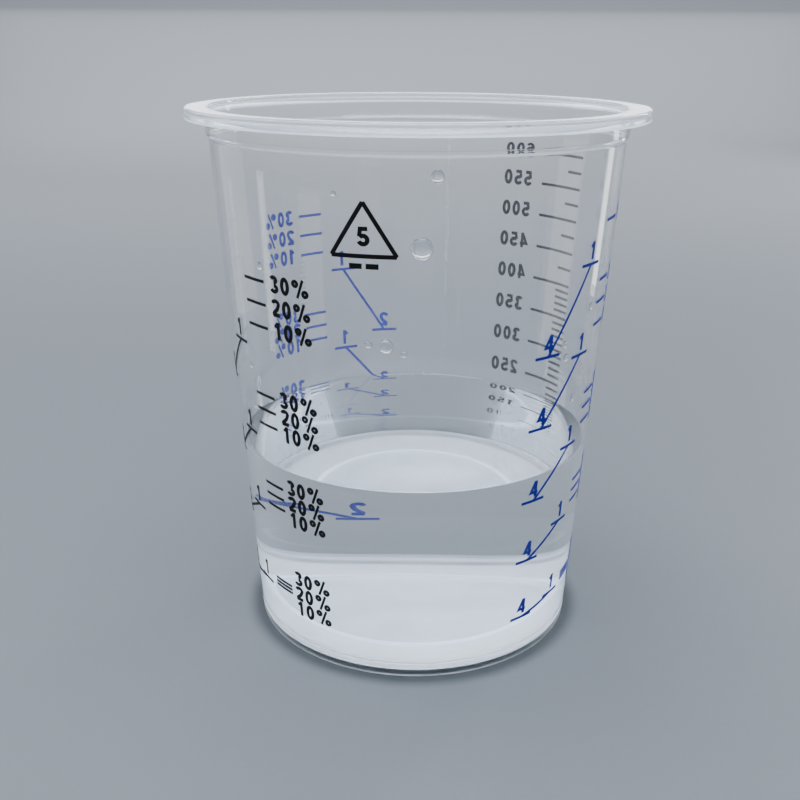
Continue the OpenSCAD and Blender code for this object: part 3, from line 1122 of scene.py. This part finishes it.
@dataclass(frozen=True)
class Lamp:
    """A soft rectangular light that faces the beaker. Its place and size are in metres."""

    name: str
    place: tuple[float, float, float]
    size: Point
    power: float
    colour: tuple[float, float, float] = (0.97, 0.99, 1.0)
    aim: tuple[float, float, float] = (0, 0, 0.06)

    def build(self) -> None:
        """Hangs the lamp."""
        light = bpy.data.lights.new(self.name, "AREA")
        light.shape = "RECTANGLE"
        light.size, light.size_y = self.size
        light.energy = self.power
        light.color = self.colour
        lamp = bpy.data.objects.new(self.name, light)
        bpy.context.scene.collection.objects.link(lamp)
        lamp.location = self.place
        aim = Vector(self.aim) - Vector(self.place)
        lamp.rotation_euler = aim.to_track_quat("-Z", "Y").to_euler()


@dataclass
class Studio:
    """A plain sweep of board, soft lights and the camera."""

    reach: float = 3.0
    behind: float = 1.1
    bend_r: float = 0.7
    sink: float = 0.02 * MM
    sharp_deg: float = 60
    air_low: Colour = (0.42, 0.44, 0.47, 1)
    air_high: Colour = (0.95, 0.98, 1.0, 1)
    air_strength: float = 0.76
    eye: tuple[float, float, float] = (-3.62 * MM, -239.9 * MM, 139.9 * MM)
    pitch: float = 20.04
    roll: float = 0.26
    lens: float = 46.1
    shift_y: float = 0.0064
    clip_start: float = 0.01
    lamps: Sequence[Lamp] = (
        Lamp("top_light", (-0.15, 0.2, 1.2), (0.8, 0.7), 19.0, (1.0, 1.0, 1.0)),
        Lamp("front_light", (0.0, -0.55, 1.0), (1.5, 0.35), 13.0, (0.98, 0.99, 1.0)),
        Lamp("back_light", (0.0, 1.55, 0.262), (1.4, 0.13), 1.7, (0.98, 0.99, 1.0)),
        Lamp("left_light", (-0.8, 0.46, 0.6), (0.55, 0.9), 5.5, (0.96, 0.98, 1.0)),
        Lamp("right_light", (0.62, 0.72, 0.5), (0.08, 0.8), 4.5),
        Lamp("left_card", (-0.228, 0.1, 0.052), (0.12, 0.09), 0.012),
        Lamp("right_card", (0.2, -0.035, 0.052), (0.065, 0.09), 0.014),
        Lamp("edge_card", (0.26, 0.15, 0.052), (0.035, 0.09), 0.03),
    )

    def floor(self) -> bpy.types.Object:
        """A floor that bends up into a backdrop."""
        bm = bmesh.new()
        z = -self.sink
        outline = [(-self.reach, z), (self.behind, z)]
        outline += round_arc(self.behind, z + self.bend_r, self.bend_r, -90, 0, 24)[1:]
        outline += [(self.behind + self.bend_r, self.reach)]
        verts = [bm.verts.new((-self.reach, y, h)) for y, h in outline]
        edges = [bm.edges.new(pair) for pair in zip(verts, verts[1:])]
        made = bmesh.ops.extrude_edge_only(bm, edges=edges)["geom"]
        moved = [item for item in made if isinstance(item, bmesh.types.BMVert)]
        bmesh.ops.translate(bm, verts=moved, vec=(2 * self.reach, 0, 0))
        bmesh.ops.recalc_face_normals(bm, faces=bm.faces)
        board = finished("sweep_floor", bm, [StudioFloor().make()], self.sharp_deg)
        return board

    def sky(self) -> None:
        """Even light from all round, a little cooler and stronger from above."""
        world = bpy.data.worlds.new("studio_air")
        bpy.context.scene.world = world
        air = Paint(world)
        height = air.node("ShaderNodeSeparateXYZ", inputs={0: air.coords["Generated"]})["Z"]
        ramp = air.node(
            "ShaderNodeValToRGB",
            {"stops": ((0.0, self.air_low), (1.0, self.air_high))},
            {0: height},
        )
        glow = air.node(
            "ShaderNodeBackground", inputs={"Color": ramp[0], "Strength": self.air_strength}
        )
        air.node("ShaderNodeOutputWorld", inputs={"Surface": glow[0]})

    def camera(self) -> None:
        """The camera, a little above the rim and tilted down."""
        data = bpy.data.cameras.new("eye")
        data.lens = self.lens
        data.shift_y = self.shift_y
        data.clip_start = self.clip_start
        eye = bpy.data.objects.new("eye", data)
        bpy.context.scene.collection.objects.link(eye)
        tilt = Matrix.Rotation(math.radians(90 - self.pitch), 4, "X")
        roll = Matrix.Rotation(math.radians(self.roll), 4, "Z")
        eye.matrix_world = Matrix.Translation(self.eye) @ tilt @ roll
        bpy.context.scene.camera = eye

    def build(self) -> None:
        """Sets the stage."""
        self.floor()
        self.sky()
        self.camera()
        for lamp in self.lamps:
            lamp.build()


# ---- Main ----


def main() -> None:
    """Builds the beaker and its studio, and reports each piece."""
    logging.basicConfig(level=logging.INFO, format="%(name)s: %(message)s")
    Studio().build()
    cup = Cup()
    press = Press()
    black = Ink("black_ink", (0.002, 0.002, 0.002, 1), (0.006, 0.006, 0.007, 1)).make()
    blue = Ink("blue_ink", (0.001, 0.011, 0.25, 1), (0.003, 0.028, 0.38, 1)).make()
    pieces = [cup.build(), Fill(cup).build(), WallDrops(cup).build()]
    pieces += MillilitreScale(cup, press, black).build()
    black_mixes = ((383, 31), (259, 20.5), (155.5, 14.5), (55, 4.6))
    four_mixes = ((494.5, 53), (373, 31), (250, 20.5), (148, 14.5), (50.5, 4.6))
    two_mixes = ((399.5, 31), (273.5, 20.5), (176, 14.5), (77, 4.6))
    mixing_scales = (
        MixingScale(
            cup, press, black, "black_scale", "black_ink",
            az=242.2, parts="5", base_share=0.83, mixes=black_mixes,
        ),
        MixingScale(
            cup, press, blue, "blue_four_to_one", "blue_ink",
            az=126.3, parts="4", base_share=0.778, mixes=four_mixes,
        ),
        MixingScale(
            cup, press, blue, "blue_two_to_one", "blue_ink",
            az=333.5, parts="2", base_share=0.743, mixes=two_mixes,
        ),
    )
    for scale in mixing_scales:
        pieces += scale.build()
    pieces += MaterialMark(cup, press, black).build()
    for piece in pieces:
        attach(piece, ROOT)
        LOG.info("%s: %d faces", piece.name, len(piece.data.polygons))


if __name__ == "__main__":
    main()
